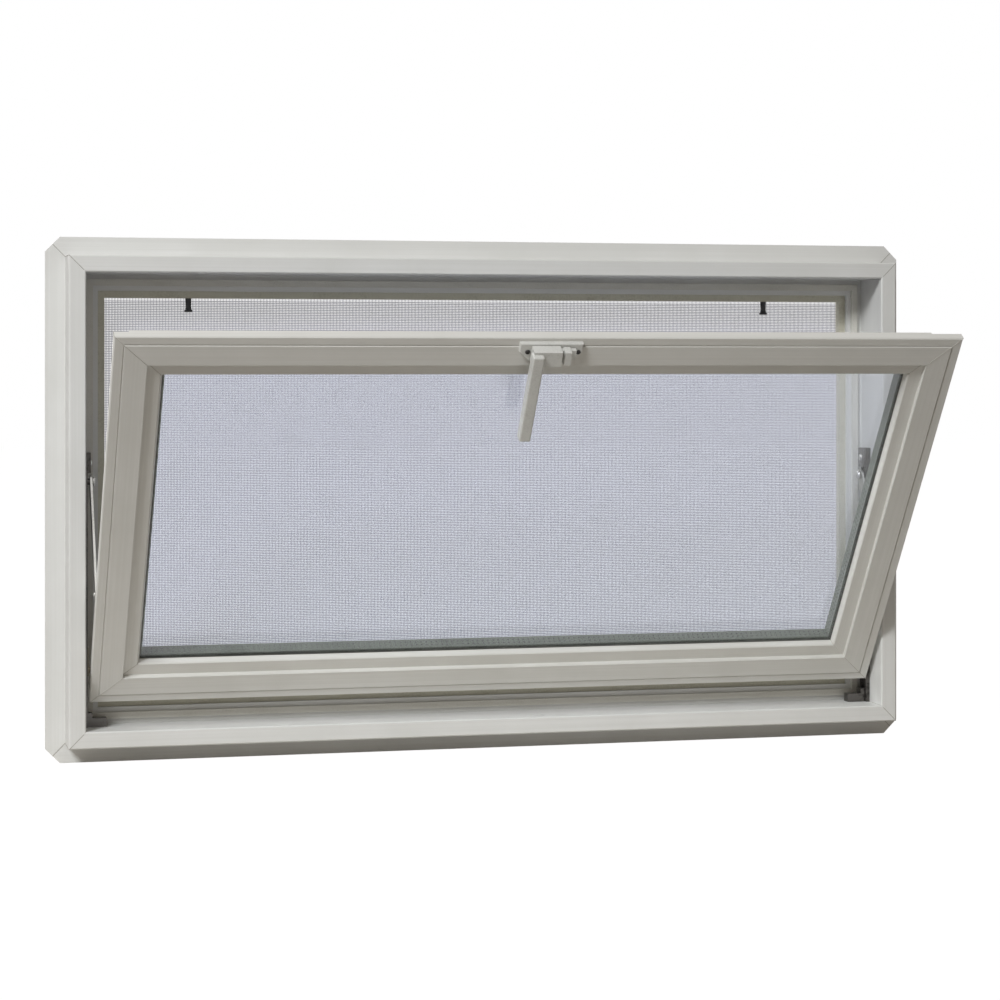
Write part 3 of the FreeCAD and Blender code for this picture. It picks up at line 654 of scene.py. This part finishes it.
# %% [markdown]
# ## Screw and rivet heads
# A pan-head screw is a low dome with a cross cut into it, and a rivet is the same dome without the cross.
# Both are turned once as a ring-by-ring mesh, one unit in radius. Each ring has a height and four radii
# that repeat round it, so a ring of uneven radii makes the cross.

# %% Heads turned from rings
ring_points = 16


def turned_rings(name, rings):
    mesh = bmesh.new()
    rows = []
    turns = [math.tau * (i + 0.5) / ring_points for i in range(ring_points)]
    for height, radii in rings:
        rows.append([mesh.verts.new((radii[i % 4] * math.cos(a), radii[i % 4] * math.sin(a), height))
                     for i, a in enumerate(turns)])
    for low, high in zip(rows, rows[1:]):
        for i in range(ring_points):
            after = (i + 1) % ring_points
            mesh.faces.new((low[i], low[after], high[after], high[i]))
    mesh.faces.new(rows[-1])
    mesh.faces.new(list(reversed(rows[0])))
    bmesh.ops.recalc_face_normals(mesh, faces=mesh.faces)
    data = bpy.data.meshes.new(name)
    mesh.to_mesh(data)
    mesh.free()
    print(name, "faces", len(data.polygons))
    turned = bpy.data.objects.new(name, data)
    scene.collection.objects.link(turned)
    return turned


cross = (0.55, 0.2, 0.2, 0.55)
cross_floor = [0.8 * r for r in cross]
dome = [(0.0, [1.0] * 4), (0.22, [1.0] * 4), (0.4, [0.86] * 4), (0.5, [0.62] * 4)]
screw_head = turned_rings("pan_head", dome + [(0.5, cross), (0.24, cross_floor)])
rivet_head = turned_rings("rivet_dome", dome + [(0.54, [0.3] * 4)])

# %% [markdown]
# ## Heads on their seats
# A seat is a place and a direction. Geometry Nodes sets a copy of a head on each seat, turned to the
# seat's direction and scaled to the head's radius. Two screws hold the lock, two each sash bar and one
# each track, and rivets are the pivots of the stay's arms.

# %% Set the heads
heads_tree, given = new_tree("heads_on_seats", {
    "Seats": "NodeSocketGeometry", "Head": "NodeSocketObject", "Radius": "NodeSocketFloat",
    "Finish": "NodeSocketMaterial"})
head = add_node(heads_tree, "GeometryNodeObjectInfo", {"Object": given["Head"]})
direction = add_node(heads_tree, "GeometryNodeInputNamedAttribute", {"Name": "facing"},
                     data_type="FLOAT_VECTOR")
aimed = add_node(heads_tree, "FunctionNodeAlignRotationToVector", {"Vector": direction.outputs[0]}, axis="Z")
heads = add_node(heads_tree, "GeometryNodeInstanceOnPoints", {
    "Points": given["Seats"], "Instance": head.outputs["Geometry"], "Rotation": aimed.outputs[0],
    "Scale": given["Radius"]})
finish_tree(heads_tree, heads.outputs[0], given["Finish"])


def set_heads(name, body, seats, kind, radius_mm, finish=rivet_zinc):
    mesh = bpy.data.meshes.new(name + "_seats")
    mesh.from_pydata([place for place, _ in seats], [], [])
    facing = mesh.attributes.new("facing", "FLOAT_VECTOR", "POINT")
    for entry, (_, way) in zip(facing.data, seats):
        entry.vector = way
    piece = bake_tree(heads_tree, name, {"Head": kind, "Radius": radius_mm * MM, "Finish": finish}, mesh)
    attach(piece, body)


def across(side):
    return Vector((side, 0, 0))


lock_screw_xs, lock_screw_height, lock_base_face = (-24.7, 21.0), 397.4, -4
lock_seats = [(on_sash(x, lock_screw_height, lock_base_face), -sash_back) for x in lock_screw_xs]
set_heads("lock_screws", "sash", lock_seats, screw_head, 2.3, screw_oxide)
bar_face, bar_screws_up = 369.225, (28, 58)
bar_seats = [(on_sash(side * bar_face, pivot_height + up, pivot_depth), across(side))
             for side in sides for up in bar_screws_up]
set_heads("sash_bar_screws", "sash", bar_seats, screw_head, 3.0)
jamb_face, track_block_rise, track_screw_z = 387.725, 7, 269.2
block_face = jamb_face - track_block_rise
track_seats = [(on_frame(side * block_face, track_screw_z, pivot_y), across(-side)) for side in sides]
set_heads("track_screws", "frame", track_seats, screw_head, 3.2)
pin_length, arm_pivot_z = 9.3, 251.7
pin_end = jamb_face - pin_length
pivot_seats = [(on_frame(side * pin_end, arm_pivot_z, pivot_y), across(-side)) for side in sides]
set_heads("arm_pivot_rivets", "frame", pivot_seats, rivet_head, 4.2)
arm_face, pivot_to_rivet = 381.225, 91
rivet_seats = [(on_sash(side * arm_face, pivot_height + pivot_to_rivet, pivot_depth), across(side))
               for side in sides]
set_heads("arm_end_rivets", "stay_arms", rivet_seats, rivet_head, 2.4)
for template in (screw_head, rivet_head):
    bpy.data.objects.remove(template)

# %% [markdown]
# ## Plunger pulls
# Two spring plungers lock the screen into the frame. Each ends in a black nylon pull: a sleeve that
# narrows to a waist and a flange for two fingers. It is turned from rings as the screw heads are, made a
# little flatter towards the mesh so that it clears it, and it takes the place of the plain CAD solid.

# %% Turned pulls
# Each ring is a height below the plunger's top and a radius.
pull_rings = [(0.0, 2.9), (-7.4, 2.6), (-10.4, 2.9), (-11.4, 4.0), (-12.7, 4.0), (-13.0, 3.7)]
pull_flatness = 0.87
for side in ("left", "right"):
    low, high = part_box(side + "_screen_plunger")
    pull = turned_rings(side + "_plunger_pull", [
        (height * MM, [radius * MM] * 4) for height, radius in pull_rings])
    seat = Matrix.Translation(((low.x + high.x) / 2, (low.y + high.y) / 2, high.z))
    pull.data.transform(seat @ Matrix.Diagonal((1, pull_flatness, 1, 1)))
    pull.data.materials.append(knob_plastic)
    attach(pull, "frame")
    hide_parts(side + "_screen_plunger")
    print(pull.name, "at mm", in_mm(seat.translation))
